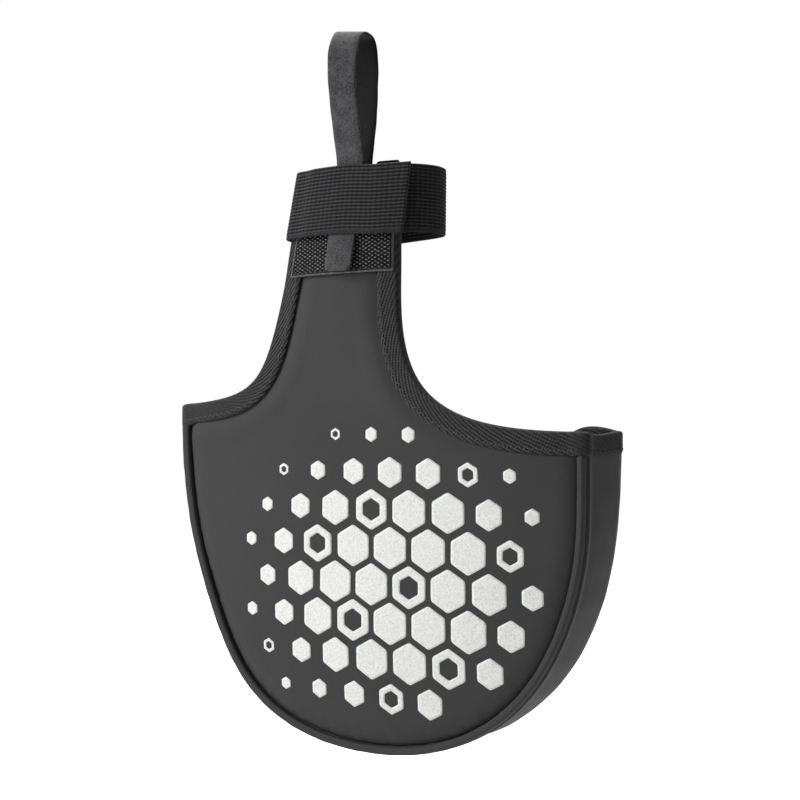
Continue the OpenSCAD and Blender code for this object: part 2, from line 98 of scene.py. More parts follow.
# %% [markdown]
# ## The cut of the pouch
# The round bottom is a superellipse, a circle pushed a little towards a square. Both flanks sag
# inwards, the left one most, because nothing fills the cover. The mouth runs from each corner in a
# hollow curve up to the neck. A few functions give any point of the seam, so all pieces share it.


# %% Seam, mouth and neck as functions
def smooth(t):
    t = np.clip(t, 0, 1)
    return t * t * (3 - 2 * t)


def unit(v):
    return v / np.maximum(np.linalg.norm(v, axis=-1, keepdims=True), 1e-12)


def right_of(d):
    """Flat directions, turned by a quarter clockwise."""
    return np.stack([d[:, 1], -d[:, 0]], 1)


def lengths(line):
    """The length along a line at each of its points."""
    return np.concatenate([[0], np.cumsum(np.linalg.norm(np.diff(line, axis=0), axis=1))])


def at_lengths(line, along, where):
    return np.stack([np.interp(where, along, column) for column in line.T], 1)


def resampled(line, step):
    """The line as points that lie one step apart along it."""
    along = lengths(line)
    where = np.linspace(0, along[-1], max(2, int(round(along[-1] / step)) + 1))
    return at_lengths(line, along, where)


def slack(z, side):
    """How far a flank lies inside of the superellipse."""
    z = np.asarray(z)
    left = 11 * np.sin(np.pi * np.clip(z / 170, 0, 1) ** 0.8) ** 2
    right = 2.1 * np.sin(np.pi * np.clip(z / 145, 0, 1)) ** 2
    return np.where(np.asarray(side) < 0, left, right)


def half_w(z, side):
    """Width from the pouch's middle to the seam, at a height on one side."""
    v = 1 - np.minimum(z, POUCH_R) / POUCH_R
    return POUCH_R * np.maximum(0, 1 - v**ROUND) ** (1 / ROUND) - slack(z, side)


def corner_h(side):
    return np.where(np.asarray(side) < 0, CORNER_L, CORNER_R)


def neck_left_x(z):
    return NECK_LEFT + NECK_LEAN / (NECK_TOP - NECK_LEFT_H) * (z - NECK_LEFT_H)


def bezier(p, t):
    t = np.asarray(t)[:, None]
    p = np.asarray(p, float)
    return ((1 - t) ** 3 * p[0] + 3 * t * (1 - t) ** 2 * p[1] + 3 * t * t * (1 - t) * p[2]
            + t**3 * p[3])


def side_of_seam(side):
    """Seam points from the bottom up to the corner, on one side."""
    arc = POUCH_R * (1 - np.cos(np.linspace(0, np.pi / 2, 400)) ** (2 / ROUND))
    z = np.concatenate([arc, np.linspace(POUCH_R, float(corner_h(side)), 60)[1:]])
    return np.stack([side * half_w(z, side), z], 1)


edge_dir = unit(np.array([NECK_LEAN, NECK_TOP - NECK_LEFT_H]))
left_shoulder = [(-POUCH_R, CORNER_L), (-POUCH_R + 66, CORNER_L + 4),
                 np.array([NECK_LEFT, NECK_LEFT_H]) - 64 * edge_dir, (NECK_LEFT, NECK_LEFT_H)]
right_shoulder = [(POUCH_R, CORNER_R), (POUCH_R - 73, CORNER_R),
                  (NECK_RIGHT, NECK_RIGHT_H - 69), (NECK_RIGHT, NECK_RIGHT_H)]
ts = np.linspace(0, 1, 200)
cut_left, cut_right = [(neck_left_x(NECK_CUT), NECK_CUT)], [(NECK_RIGHT, NECK_CUT)]
mouth_runs = [np.concatenate([bezier(left_shoulder, ts), cut_left]),
              np.concatenate([cut_left, cut_right]),
              np.concatenate([cut_right, bezier(right_shoulder, ts)[::-1]])]
print("mouth edge:", round(sum(lengths(run)[-1] for run in mouth_runs)), "mm")

# %% [markdown]
# ## The face of the front panel
# The padded panel is one laminate of leather, foam and lining. It domes a few millimetres over the
# chainring, bends round the tube at the neck and rolls back into the piped seam. Where the binding
# is sewn on, the thread pulls the foam down, so the panel puffs up just inside of the tape.


# %% Depth of the front face at any point
SEAM_BACK = PIPING_D / 2 + 0.2
EDGE_IN = TAPE_T + 0.6
CROWN = 5.0


def seam_rho(x, z):
    """Share of the way from the pouch's middle to the seam."""
    v = np.maximum(0, 1 - z / POUCH_R)
    s = slack(z, x) * np.minimum(1, np.abs(x) / 60)
    return (((np.abs(x) + s) / POUCH_R) ** ROUND + v**ROUND) ** (1 / ROUND)


def seam_dist(x, z):
    return (1 - seam_rho(x, z)) * POUCH_R


def front_y(x, z):
    """The front face as it is cut: the crowned pouch, the bowed neck and the roll to the seam."""
    x, z = np.asarray(x, float), np.asarray(z, float)
    body = -CROWN * (1 - seam_rho(x, z) ** 5)
    u = np.clip((x - NECK_MID) / NECK_HALF, -1.3, 1.3)
    neck = -1 + 3 * u * u + 1.5 * u
    roll = (SEAM_BACK + 0.3) * np.exp(-np.maximum(0, seam_dist(x, z) - EDGE_IN) / 3.0)
    t = smooth((z - 180) / 80)
    return body * (1 - t) + neck * t + roll


def front_mid(x, z):
    return front_y(x, z) + PANEL_T / 2


mouth_points = np.concatenate([resampled(run, 1.0) for run in mouth_runs])[:-1:4]


def mouth_dist(p):
    """Distance of points [x, z] from the mouth edge."""
    return np.min([np.hypot(*(p - q).T) for q in mouth_points], axis=0)


def waves(x, z, seed, size, high):
    """Soft uneven undulation from a few crossed waves, about size mm long and high mm high."""
    r = np.random.default_rng(seed)
    total = 0
    for _ in range(6):
        a = r.uniform(0, np.pi)
        k = 2 * np.pi / (size * r.uniform(0.7, 1.5))
        total = total + np.sin(k * (x * np.cos(a) + z * np.sin(a)) + r.uniform(0, 6.3))
    return total / 6 * high


def face_y(x, z):
    """The sewn front face: the cut shape, pinched at the tape and a little uneven."""
    tape, seam = mouth_dist(np.stack([x, z], 1)) - TAPE_W, seam_dist(x, z)
    # Under the tape the foam is pressed by three quarters of a millimetre, and it is full again
    # 6 mm further in
    pinch = 0.75 * (1 - smooth((tape + 1) / 7)) * smooth((seam - 2) / 6)
    puff = 0.5 * np.exp(-(((tape - 9) / 6) ** 2))
    puff = puff + 0.5 * np.exp(-(((seam - 11) / 6) ** 2)) * smooth((200 - z) / 40)
    # Fine gathers run in from the piping, where the round seam is eased
    inner = np.exp(-((seam - 5) / 6) ** 2) * smooth(seam / 4) * smooth((150 - z) / 40)
    angle = np.arctan2(x, POUCH_R - z)
    gathers = 0.16 * inner * (np.sin(angle * 61) + np.sin(angle * 97 + 1.3))
    uneven = waves(x, z, 3, 70, 0.5) + waves(x, z, 5, 26, 0.12)
    return front_y(x, z) + pinch - puff + gathers + uneven


# %% [markdown]
# ## Turning points into pieces
# A sewn piece is a grid of points: rows along it and columns across it. Quads between neighbours
# make the surface. One helper does this for open sheets, closed tubes and rings, and keeps two
# lengths at each point, along and across in millimetres, so that a weave can follow the tape.


# %% Mesh helpers
def new_object(name, data):
    made = bpy.data.objects.new(name, data)
    bpy.context.scene.collection.objects.link(made)
    return made


def new_piece(name, points, faces, cloth=None):
    mesh = bpy.data.meshes.new(name)
    mesh.from_pydata(placed(points).reshape(-1, 3).tolist(), [], faces)
    mesh.validate()
    shell = bmesh.new()
    shell.from_mesh(mesh)
    bmesh.ops.recalc_face_normals(shell, faces=shell.faces)
    shell.to_mesh(mesh)
    shell.free()
    mesh.update()
    mesh.polygons.foreach_set("use_smooth", [True] * len(mesh.polygons))
    if cloth is not None:
        data = mesh.attributes.new("cloth_mm", "FLOAT_VECTOR", "POINT")
        data.data.foreach_set("vector", np.asarray(cloth, np.float32).ravel())
    print(f"{name}: {len(mesh.polygons)} faces")
    return new_object(name, mesh)


def stacked(*parts):
    """Coordinates, each spread over the same grid, as points."""
    return np.stack(np.broadcast_arrays(*parts), -1)


def grid_faces(rows, cols, start=0, wrap_rows=False, wrap_cols=False):
    i = np.arange(rows if wrap_rows else rows - 1)[:, None]
    j = np.arange(cols if wrap_cols else cols - 1)
    row, next_row, next_j = i * cols, (i + 1) % rows * cols, (j + 1) % cols
    quads = stacked(row + j, row + next_j, next_row + next_j, next_row + j)
    return (quads.reshape(-1, 4) + start).tolist()


def swept(name, sections, closed=False, cloth=None):
    """A closed profile carried through sections of equally many points, with end caps."""
    rows, cols = sections.shape[:2]
    faces = grid_faces(rows, cols, wrap_rows=closed, wrap_cols=True)
    if not closed:
        faces += [list(range(cols))[::-1], list(range((rows - 1) * cols, rows * cols))]
    return new_piece(name, sections, faces, cloth)


def shelled(name, outer, inner, cloth=None):
    """Two grids of points as the skins of a thin piece, joined all along their edges."""
    rows, cols = outer.shape[:2]
    k = rows * cols
    at = np.arange(k).reshape(rows, cols)
    edge = np.concatenate([at[0], at[1:, -1], at[-1, -2::-1], at[-2:0:-1, 0]])
    after = np.roll(edge, -1)
    faces = grid_faces(rows, cols) + grid_faces(rows, cols, start=k)
    faces += stacked(edge, after, after + k, edge + k).tolist()
    return new_piece(name, np.array([outer, inner]), faces, cloth)


def ended(piece, material, node=None):
    piece.data.materials.append(material)
    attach(piece, "root")
    if node:
        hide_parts(node)


# %% [markdown]
# ## Materials from what the real ones are
# Colours are written as on a screen, in hex, and one function turns them to the linear values that
# the shader wants. One more adds a node with its settings and links. Inputs go in by name or in
# their order, which is value, from low, from high, to low, to high for a MapRange. Patterns are
# drawn at their real size: the tape and the webbing read the lengths kept at each point, the
# leather and the suede read the object's own coordinates in metres.


# %% Colour and node helpers
def linear(hex_code):
    c = np.array([int(hex_code[k:k + 2], 16) for k in (1, 3, 5)]) / 255
    return (*np.where(c <= 0.04045, c / 12.92, ((c + 0.055) / 1.055) ** 2.4), 1.0)


def add(tree, kind, inputs=(), **settings):
    """Adds a node, sets it and feeds its inputs with values, hex colours, sockets or nodes."""
    node = tree.nodes.new("ShaderNode" + kind)
    for key, value in settings.items():
        setattr(node, key, value)
    for socket, value in inputs.items() if isinstance(inputs, dict) else enumerate(inputs):
        if isinstance(value, bpy.types.Node):
            value = next(output for output in value.outputs if output.enabled)
        if isinstance(value, bpy.types.NodeSocket):
            tree.links.new(value, node.inputs[socket])
        else:
            node.inputs[socket].default_value = linear(value) if isinstance(value, str) else value
    return node


def new_material(name):
    material = bpy.data.materials.new(name)
    material.use_nodes = True
    material.node_tree.nodes.clear()
    return material, material.node_tree


def kept_lengths(tree):
    """The kept lengths as a vector, and one by one: along, across and a third."""
    cloth = add(tree, "Attribute", attribute_name="cloth_mm").outputs["Vector"]
    return cloth, *add(tree, "SeparateXYZ", [cloth]).outputs


def wave(tree, length, pitch, form="SINE"):
    """A wave along a length, with one turn for each pitch."""
    turns = add(tree, "Math", (length, 2 * np.pi / pitch), operation="MULTIPLY")
    return add(tree, "Math", [turns], operation=form)


def uneven(tree, value, at, scale, detail, high):
    """The value, made uneven by a noise of the given height."""
    noise = add(tree, "TexNoise", {"Vector": at, "Scale": scale, "Detail": detail})
    return add(tree, "Math", (noise, high, value), operation="MULTIPLY_ADD")


def finished(tree, factor, dark, light, height, distance, roughness, sheen=0.0, specular=0.5):
    """Ends a material: two colours mixed by a factor, in a bumped Principled shader.

    The height is in units of the distance."""
    colour = add(tree, "Mix", {0: factor, 6: dark, 7: light}, data_type="RGBA")
    bump = add(tree, "Bump", {"Height": height, "Distance": distance, "Strength": 1.0})
    shader = add(tree, "BsdfPrincipled", {
        "Base Color": colour, "Roughness": roughness, "Normal": bump,
        "Sheen Weight": sheen, "Sheen Roughness": 0.5, "Specular IOR Level": specular})
    add(tree, "OutputMaterial", {"Surface": shader})


# %% [markdown]
# ## Matte artificial leather
# Polyurethane film on knitted backing, embossed with a fine grain. It is dark grey and matte, so
# the eye gets broad soft gradients and, close up, a faint pebble. The pebble is drawn at 0.9 mm,
# coarser than the 0.6 mm supposed for the real one, because a finer one is lost in the render.

# %% Faux leather
faux_leather, tree = new_material("matte_embossed_faux_leather")
at = add(tree, "TexCoord").outputs["Object"]
pebble = add(tree, "TexVoronoi", {"Vector": at, "Scale": 1 / 0.0009}, feature="SMOOTH_F1")
dust = add(tree, "TexNoise", {"Vector": at, "Scale": 1 / 0.0006, "Detail": 3.0, "Roughness": 0.6})
cloud = add(tree, "TexNoise", {"Vector": at, "Scale": 1 / 0.05, "Detail": 2.0})
tone = add(tree, "Mix", {0: dust, 6: "#353536", 7: "#3e3e3f"}, data_type="RGBA")
dimmed = add(tree, "Mix", {0: 1.0, 6: tone, 7: "#e6e6e6"}, data_type="RGBA", blend_type="MULTIPLY")
rough = add(tree, "MapRange", (dust, 0, 1, 0.62, 0.75))
height = add(tree, "Math", (pebble, 0.6, dust), operation="MULTIPLY_ADD")
finished(tree, cloud, dimmed, tone, height, 0.00006, rough, specular=0.16)

# %% [markdown]
# ## Twill binding tape
# A woven cotton and polyester tape. Its threads step sideways at each pass, which gives slanted
# ribs, drawn 1.75 mm apart, brighter on top and black between. The ribs are a sine across the two
# kept lengths, broken into short floats by a second one along the rib. The third kept number says
# where the tape is pressed flat, and there the ribs are fainter.

# %% Twill tape
twill, tree = new_material("woven_twill_tape")
TWILL_PITCH, FLOAT_PITCH, TWILL_SLOPE = 1.75, 1.6, np.radians(20)
cloth, along, across, pressed = kept_lengths(tree)
slant = add(tree, "Math", (across, 1 / np.tan(TWILL_SLOPE), along), operation="MULTIPLY_ADD")
rib = wave(tree, uneven(tree, slant, cloth, 0.35, 2.0, 3.0), TWILL_PITCH / np.sin(TWILL_SLOPE))
cross = add(tree, "Math", (across, -np.tan(TWILL_SLOPE), along), operation="MULTIPLY_ADD")
weave = add(tree, "Math", (wave(tree, cross, FLOAT_PITCH), 0.35, rib), operation="MULTIPLY_ADD")
low_end = add(tree, "MapRange", (pressed, 0, 1, 0.0, 0.33))
high_end = add(tree, "MapRange", (pressed, 0, 1, 1.0, 0.53))
weave = add(tree, "MapRange", (weave, -1.35, 1.35, low_end, high_end))
mixed = uneven(tree, weave, cloth, 1.6, 3.0, 0.7)
ramp = add(tree, "MapRange", (mixed, 0.4, 1.3))
finished(tree, ramp, "#0c0c0d", "#464647", mixed, 0.0003, 0.85, sheen=0.05, specular=0.12)

# %% [markdown]
# ## Ribbed elastic webbing
# Rubber threads run along the strap and lift the weave into ribs, which are real geometry on the
# piece. Each rib is crossed by short stitches of yarn, one every 2.9 mm, that the material draws,
# nearly in line from rib to rib. The lower selvedge is woven plain, about two millimetres wide.

# %% Elastic webbing
webbing, tree = new_material("ribbed_elastic_webbing")
RIB, DASH = 1.9, 2.9
cloth, along, across, _ = kept_lengths(tree)
dash = wave(tree, uneven(tree, along, cloth, 0.4, 1.0, 1.6), DASH)
weave = add(tree, "Math", (dash, 0.28, wave(tree, across, RIB, "COSINE")),
            operation="MULTIPLY_ADD")
ribbed = add(tree, "MapRange", (across, STRAP_LOW + 1.9, STRAP_LOW + 2.6))
weave = add(tree, "Math", (weave, ribbed), operation="MULTIPLY")
ramp = add(tree, "MapRange", (uneven(tree, weave, cloth, 1.6, 3.0, 1.6), 0.1, 2.2))
finished(tree, ramp, "#0c0c0d", "#48484a", ramp, 0.00035, 0.8, sheen=0.03, specular=0.1)

# %% [markdown]
# ## Hook tape
# Nylon hooks stand on a woven ground, each row shifted by half a step. From a metre away they
# read as bright dots in a zigzag on black. Two cosines multiplied give such a staggered grid. The
# border of the tape has no hooks: the third kept length is the distance from the edge.

# %% Hook tape
hooks, tree = new_material("woven_nylon_hook_tape")
HOOK_ACROSS, HOOK_DOWN = 3.6, 2.1
cloth, along, across, from_edge = kept_lengths(tree)
beat = wave(tree, uneven(tree, along, cloth, 0.5, 1.0, 0.7), HOOK_ACROSS, "COSINE")
loops = add(tree, "Math", (beat, wave(tree, across, HOOK_DOWN, "COSINE")), operation="MULTIPLY")
fuzz = add(tree, "TexNoise", {"Vector": cloth, "Scale": 0.9, "Detail": 2.0})
mixed = add(tree, "Math", (fuzz, 1.8, loops), operation="MULTIPLY_ADD")
field = add(tree, "MapRange", (from_edge, 1.9, 2.5))
dots = add(tree, "Math", (add(tree, "MapRange", (mixed, 1.1, 2.1)), field), operation="MULTIPLY")
hem = add(tree, "MapRange", (from_edge, 0.6, 1.1, 0.8, 0.03))
hem = add(tree, "Math", (hem, fuzz), operation="MULTIPLY")
bare = add(tree, "MapRange", (field, 0, 1, 1.0, 0.0))
ramp = add(tree, "Math", (hem, bare, dots), operation="MULTIPLY_ADD")
finished(tree, ramp, "#0a0a0b", "#9a9a9b", ramp, 0.0006, 0.7, specular=0.07)

# %% [markdown]
# ## Suede
# The flesh side of split leather, sanded to a short nap. It scatters light evenly and shows fine
# speckles of lighter and darker fibre, drawn here at 0.9 mm. The strip's other side, inside the
# loop, is drawn near black, much darker than the suede: the third kept number is 1 there.

# %% Suede
suede, tree = new_material("sanded_suede_split")
at = add(tree, "TexCoord").outputs["Object"]
nap = add(tree, "TexNoise", {"Vector": at, "Scale": 1 / 0.0009, "Detail": 4.0, "Roughness": 0.75})
ramp = add(tree, "MapRange", (uneven(tree, nap, at, 1 / 0.008, 2.0, 0.3), 0.5, 0.8))
# The side that faces into the loop is drawn near black, far darker than the napped side
napped, loop_inside = (add(tree, "Mix", {0: ramp, 6: dark, 7: light}, data_type="RGBA")
                  for dark, light in (("#2c2c2d", "#58585a"), ("#070708", "#161617")))
inside = kept_lengths(tree)[3]
finished(tree, inside, napped, loop_inside, nap, 0.00025, 0.92, sheen=0.24, specular=0.12)

# %% [markdown]
# ## Silver ink and thread
# The ink is screen printed with mica flakes: pale grey, half matt, with a sandy grain where the
# leather's pebble breaks it. The sewing thread is bonded nylon, smooth and dark grey. Over the
# gusset's right end it is painted near black: painted shade, where the tape faces away from
# the light.

# %% Silver ink and thread
ink, tree = new_material("screen_printed_silver_ink")
at = add(tree, "TexCoord").outputs["Object"]
pebble = add(tree, "TexVoronoi", {"Vector": at, "Scale": 1 / 0.001}, feature="SMOOTH_F1")
dust = add(tree, "TexNoise", {"Vector": at, "Scale": 1 / 0.0007, "Detail": 3.0, "Roughness": 0.7})
flakes = add(tree, "Math", (pebble, -0.5, dust), operation="MULTIPLY_ADD")
ramp = add(tree, "MapRange", (flakes, 0.05, 0.45))
rough = add(tree, "MapRange", (flakes, 0, 1, 0.42, 0.62))
finished(tree, ramp, "#cbccc8", "#e9eae6", flakes, 0.00005, rough)

thread, tree = new_material("bonded_nylon_thread")
twist = add(tree, "TexNoise", {"Vector": kept_lengths(tree)[0], "Scale": 2.0, "Detail": 1.0})
worn = add(tree, "Mix", {0: twist, 6: "#2a2a2b", 7: "#585859"}, data_type="RGBA")
at = add(tree, "SeparateXYZ", [add(tree, "TexCoord").outputs["Object"]])
# Painted shade: right of x = 0.1325 m, over the gusset's right end, the thread turns near black
painted_shade_right = add(tree, "MapRange", (at, 0.1325, 0.1365))
finished(tree, painted_shade_right, worn, "#0e0e0f", twist, 0.0001, 0.5, specular=0.25)
print("materials:", [m.name for m in bpy.data.materials])

# %% [markdown]
# ## Front panel
# The panel is cut along the outline, inset to lie inside the folded tape. Rings of points shrink
# from the rim to one middle point, so the mesh runs parallel to every edge, where the shape
# changes fastest. Fewer rings, a panel's thickness behind, close it.


# %% Outline and front panel
def inward(p):
    """Directions into a closed clockwise outline, long enough at corners to keep the distance."""
    right = right_of(unit(np.roll(p, -1, 0) - p))
    before = np.roll(right, 1, 0)
    return (before + right) / np.maximum(1 + (before * right).sum(1), 0.4)[:, None]


right_seam, left_seam = (resampled(side_of_seam(side), STEP) for side in (1, -1))
seam = np.concatenate([right_seam[::-1], left_seam[1:]])
mouth = np.concatenate([resampled(run, STEP)[:-1] for run in mouth_runs])
outline = np.concatenate([seam, mouth[1:]])
outline_in = inward(outline)
rim = outline + EDGE_IN * outline_in
middle = np.array([NECK_MID + 4, 150.0])
RINGS = 58


def ringed(shares, y_of):
    """Rings from the rim inwards, at these shares of its size, and then the middle point."""
    flat = np.vstack([middle + (rim - middle) * share for share in shares] + [middle])
    return stacked(flat[:, 0], y_of(*flat.T), flat[:, 1])


shares = 1 - (np.arange(RINGS) / RINGS) ** 1.25
face = ringed(shares, face_y)
lining = ringed(shares[::3], lambda x, z: front_y(x, z) + PANEL_T)
n = len(rim)
this, after = np.arange(n), np.roll(np.arange(n), -1)
faces = grid_faces(len(face) // n, n, wrap_cols=True)
faces += grid_faces(len(lining) // n, n, start=len(face), wrap_cols=True)
for tip in (len(face) - 1, len(face) + len(lining) - 1):
    faces += stacked(tip, tip - n + this, tip - n + after).tolist()
faces += stacked(len(face) + this, len(face) + after, after, this).tolist()
front_panel = new_piece("front_panel_leather", np.vstack([face, lining]), faces)
ended(front_panel, faux_leather, "front_panel")

# %% [markdown]
# ## Piping
# A cord wrapped in a strip of the same leather and caught in the front seam. The seam pulls the
# wrap flat on four sides, so its section is a circle pushed towards a square. On the right, where
# the panel pulls more, it is turned by 21 degrees, smaller and drawn further in than on the left,
# where it is turned by 7. The wrap is never quite even, so the radius changes by up to 0.09 mm.

# %% Piping
seam_out = -outline_in[:len(seam)]
seam_out[0], seam_out[-1] = (1, 0), (-1, 0)
stop = corner_h(seam[:, 0]) - TAPE_W - 0.1
kept = seam[:, 1] < stop - 0.5
right_end, left_end = ([[side * float(half_w(h, side)), h]]
                       for side, h in ((1, stop[0]), (-1, stop[-1])))
path = np.concatenate([right_end, seam[kept], left_end])
out = np.concatenate([[(1, 0)], seam_out[kept], [(-1, 0)]])
to_right = out[:, :1]
u = lengths(path)[:, None]
a = np.linspace(0, 2 * np.pi, 32, endpoint=False)
radius = PIPING_D / 2 * (1 + 0.02 * np.sin(u / 3.1) + 0.015 * np.sin(u / 1.7 + 1))
c, s = ((0.88 - 0.1 * to_right) * np.sign(f) * np.abs(f) ** 0.6 for f in (np.cos(a), np.sin(a)))
turn = np.radians(14 + 7 * to_right)
off_out, off_back = c * np.cos(turn) + s * np.sin(turn), s * np.cos(turn) - c * np.sin(turn)
pulled_in = np.interp(to_right, [-1, 0, 1], [0.3, 0, 0.6])
off = path[:, None, :] + out[:, None, :] * (radius * off_out - pulled_in)[..., None]
sections = stacked(off[..., 0], radius * off_back, off[..., 1])
ended(swept("piping_cord", sections), faux_leather, "piping")

# %% [markdown]
# ## Gusset
# One long strip between the two panels. It is eased round the bottom, so it bulges outwards behind
# the piping and shows shallow gathers across it. The strip is a grid: stations along the seam,
# rows from front to back, with an outer and an inner skin.


# %% Gusset
def ease_through(u, knots, values):
    """Smooth curve through knots, with level ends: straight steps softened by a small blur."""
    fine = np.linspace(0, 1, 401)
    kernel = np.hanning(9) / np.hanning(9).sum()
    line = np.convolve(np.pad(np.interp(fine, knots, values), 4, "edge"), kernel, "valid")
    return np.interp(u, fine, line)


def gusset_mid(y, z, ridge=0.0):
    """Offset of the strip from the seam. The ridge is the roll that stands beside the piping."""
    u = np.asarray(y) / DEPTH
    bulge = ease_through(u, [0, 0.07, 0.14, 0.3, 0.55, 0.8, 0.92, 1],
                         [0.05, 0.05, 0.5, 1.25, 2.4, 3.1, 2.6, 1.25])
    roll = ease_through(u, [0, 0.052, 0.066, 0.08, 0.17, 1], [-2.1, -2.1, 0.4, 1.1, 0, 0])
    return bulge + ridge * roll + 2.5 * smooth((z - 100) / 70) * smooth(u)


def sag_at(y):
    """How far the gusset's end hangs between its two corners."""
    return 1.5 * np.sin(np.pi * np.clip(np.asarray(y) / DEPTH, 0, 1) ** 0.6) ** 2


depths = np.concatenate([np.linspace(2.0, 4.4, 13), np.linspace(4.8, 8, 9),
                         np.linspace(9.5, DEPTH, 24)])
u = lengths(seam)[:, None]
below = corner_h(seam[:, :1]) - seam[:, 1:]
mid = gusset_mid(depths, seam[:, 1:], smooth((below - 9) / 5))
fold = smooth((depths - 4) / 10) * smooth((DEPTH - depths) / 8) * smooth((below - 8) / 30)
gathers = 0.22 / 1.7 * (np.sin(u / 4.3) + np.sin(u / 6.7 + 2) + np.sin(u / 2.9 + 4)) * fold
swell = 0.6 * np.sin(u / 31) * fold
cut = seam.copy()
cut[[0, -1], 1] -= EDGE_IN
skins = []
for off in (mid + GUSSET_T / 2 + gathers + swell, mid - GUSSET_T / 2 + swell):
    p = cut[:, None, :] + seam_out[:, None, :] * off[..., None]
    skins.append(stacked(p[..., 0], depths, p[..., 1] - sag_at(depths) * smooth(1 - below / 30)))
ring = np.concatenate([skins[0], skins[1][:, ::-1]], 1)
gusset = swept("gusset_leather", ring)
ended(gusset, faux_leather, "gusset")

# %% [markdown]
# ## Back panel
# The back is cut away in a deep scoop, because it has to clear the frame and the bottom bracket.
# Columns stand closer together at the flanks, where the edge turns fastest, and each column ends
# just inside of the binding.


# %% Back panel
BACK_CROWN, SCOOP_LOW, SCOOP_HALF = 3.0, 88.0, POUCH_R - 13


def back_edge(z):
    """Offset of the back panel's edge from the seam."""
    return gusset_mid(DEPTH, z) - GUSSET_T / 2 - 0.3


def back_w(z, side):
    return half_w(z, side) + back_edge(z)


def rim_z(x):
    """Height of the scooped rim."""
    x = np.asarray(x, float)
    corner = corner_h(x)
    t = np.clip((back_w(corner, x) - np.abs(x)) / 25, 0, 1)
    dip = np.where(np.abs(x) < SCOOP_HALF, (1 + np.cos(np.pi * x / SCOOP_HALF)) / 2, 0)
    return corner + 2.2 * np.sin(np.pi * t) - (corner - SCOOP_LOW) * dip


def rim_x(c):
    """Place on the rim at a share of the panel's half width there."""
    x = c * back_w(150.0, c)
    for _ in range(30):
        x = c * back_w(rim_z(x), c)
    return x


def back_y(x, z):
    return DEPTH + BACK_CROWN * (1 - np.minimum(1, seam_rho(x, z)) ** 4)


columns = -np.cos(np.linspace(0, np.pi, 141))
levels = np.linspace(0.012, 1, 74)[:, None] ** 1.3
x_top = rim_x(columns)
slope = rim_z(x_top + 0.5) - rim_z(x_top - 0.5)
z_top = rim_z(x_top) - (EDGE_IN + 0.45) * np.hypot(1, slope)
share = x_top / back_w(z_top, columns)
# The lowest row reaches down to the gusset, so that the seam is closed
z = z_top * levels - 0.3 * (1 - levels) ** 8
x = share * back_w(np.maximum(z, 0.2), columns)
outer_y = back_y(x, z) + waves(x, z, 11, 60, 0.5) * smooth(seam_dist(x, z) / 15)
back_panel = shelled("back_panel_leather", stacked(x, outer_y, z),
                     stacked(x, back_y(x, z) - PANEL_T, z))
ended(back_panel, faux_leather, "back_panel")

# %% [markdown]
# ## Edge binding
# One tape is folded over every raw edge: along the mouth and round the neck, over both ends of the
# gusset and along the back's scoop. Each section is the folded U of the tape, seen end on. The
# sections follow whatever fabric lies in the fold, and at the four corners, where the seams stack,
# a thicker section makes the small square lump that such corners have.


# %% Sections of the folded tape
TAPE_GAP, PRESSED = 0.45, 0.6
flat_s = np.array([11.5, 11.35, 11.0, 10.2, 9, 7.5, 6, 4.5, 3, 1.9])
inside_s = np.array([11.5, 8, 4, 2.2])
arc_turns = np.radians([70, 50, 30, 10, -10, -30, -50, -70])
along_s = np.concatenate([flat_s, 1.2 * np.sin(arc_turns), -flat_s[::-1],
                          -inside_s, inside_s[::-1]])


def folded(point_at):
    """Section of the tape from a function that gives a point at (distance in, side, lift)."""
    press = np.interp(flat_s, [9, 10.2, 11.0, 11.5], [0, 0.1, 0.35, 0.75])
    front, back = (np.array([point_at(s, side, TAPE_GAP + TAPE_T - p)
                             for s, p in zip(flat_s, press)]) for side in (1, -1))
    centre = (front[-1] + back[-1]) / 2
    reach, half = np.array(point_at(0, 0, 0)) - centre, front[-1] - centre
    arc = [centre + reach * np.cos(t) ** 0.7 + half * np.sign(t) * np.abs(np.sin(t)) ** 0.7
           for t in arc_turns]
    inside = [point_at(s, -1, TAPE_GAP * 0.6) for s in inside_s]
    inside += [point_at(s, 1, TAPE_GAP * 0.6) for s in inside_s[::-1]]
    return np.vstack([front, arc, back[::-1], inside])


def front_section(p0, n):
    def point_at(s, side, lift):
        q, f = p0 + n * s, p0 + n * max(s, EDGE_IN)
        return [q[0], float(front_mid(*f)) - side * (PANEL_T / 2 + lift), q[1]]
    return folded(point_at)


def side_section(y, side):
    def point_at(s, face, lift):
        z = float(corner_h(side)) - s - sag_at(y) * (1 - 0.6 * s / TAPE_W)
        x = float(half_w(z, side) + gusset_mid(y, z)) + face * (GUSSET_T / 2 + lift - PRESSED)
        return [side * x, y, z]
    return folded(point_at)


def corner_section(side, out, y, towards, more, drop):
    def point_at(s, face, lift):
        z = float(corner_h(side)) - s * (1 + drop / TAPE_W)
        h = face * (PANEL_T / 2 + lift + more)
        return [side * (float(half_w(z, side)) + out + h * towards[0]), y + h * towards[1], z]
    return folded(point_at)


def rim_section(p0, n):
    def point_at(s, face, lift):
        q = p0 + n * s
        return [q[0], float(back_y(*q)) - PANEL_T / 2 + face * (PANEL_T / 2 + lift), q[1]]
    return folded(point_at)


# %% [markdown]
# The sections are strung in one closed loop, as the tape is sewn on. At the corners, where they
# are far apart, a smooth curve through them adds a few more, so that the tape turns and isn't bent.

